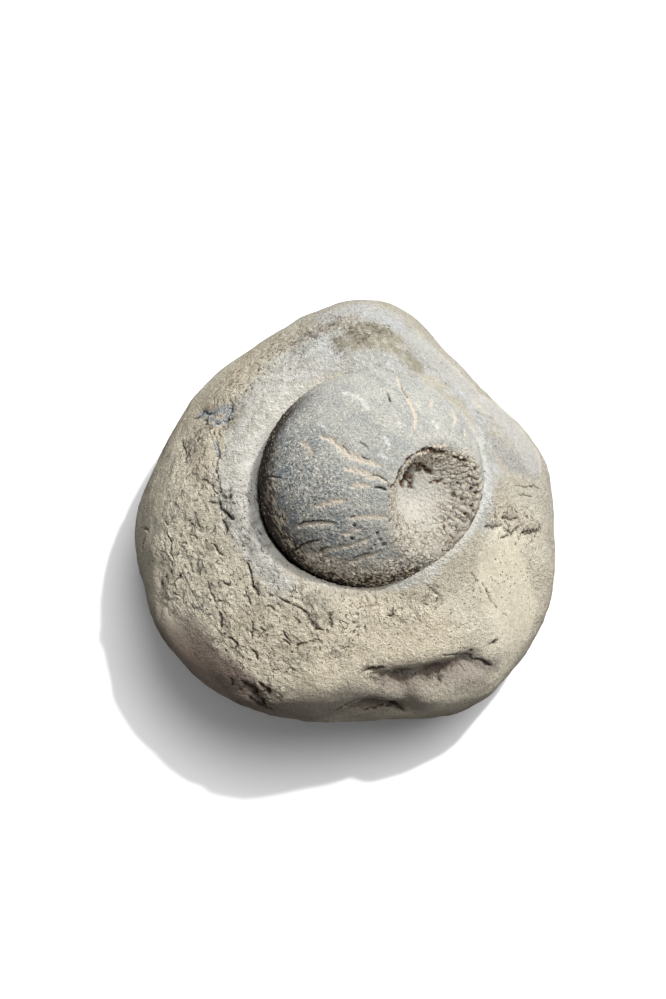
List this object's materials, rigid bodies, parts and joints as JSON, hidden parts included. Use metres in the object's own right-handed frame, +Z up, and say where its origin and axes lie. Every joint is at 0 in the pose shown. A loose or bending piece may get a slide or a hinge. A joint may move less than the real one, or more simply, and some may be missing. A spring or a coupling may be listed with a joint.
{
  "type": "fossil sponge",
  "caption": "Globular fossil sponge with a ribbed funnel mouth, standing half out of the rounded buff cobble that holds it; a hand specimen that rests on its flat underside.",
  "frame": {"origin": "middle of the cobble's footprint box, on the surface it rests on", "axes": "+Z up, +X to the right and +Y to the back as the picture sees it"},
  "size_m": [0.0846, 0.0908, 0.0648],
  "materials": {
    "matrix": "matt buff limestone, rough and cracked on the left, worn smooth on the right",
    "fossil": "matt grainy blue-grey stone with buff infill in its canals"
  },
  "bodies": {
    "root": {"matrix_stone": "matrix", "sponge_fossil": "fossil"}
  },
  "joints": []
}
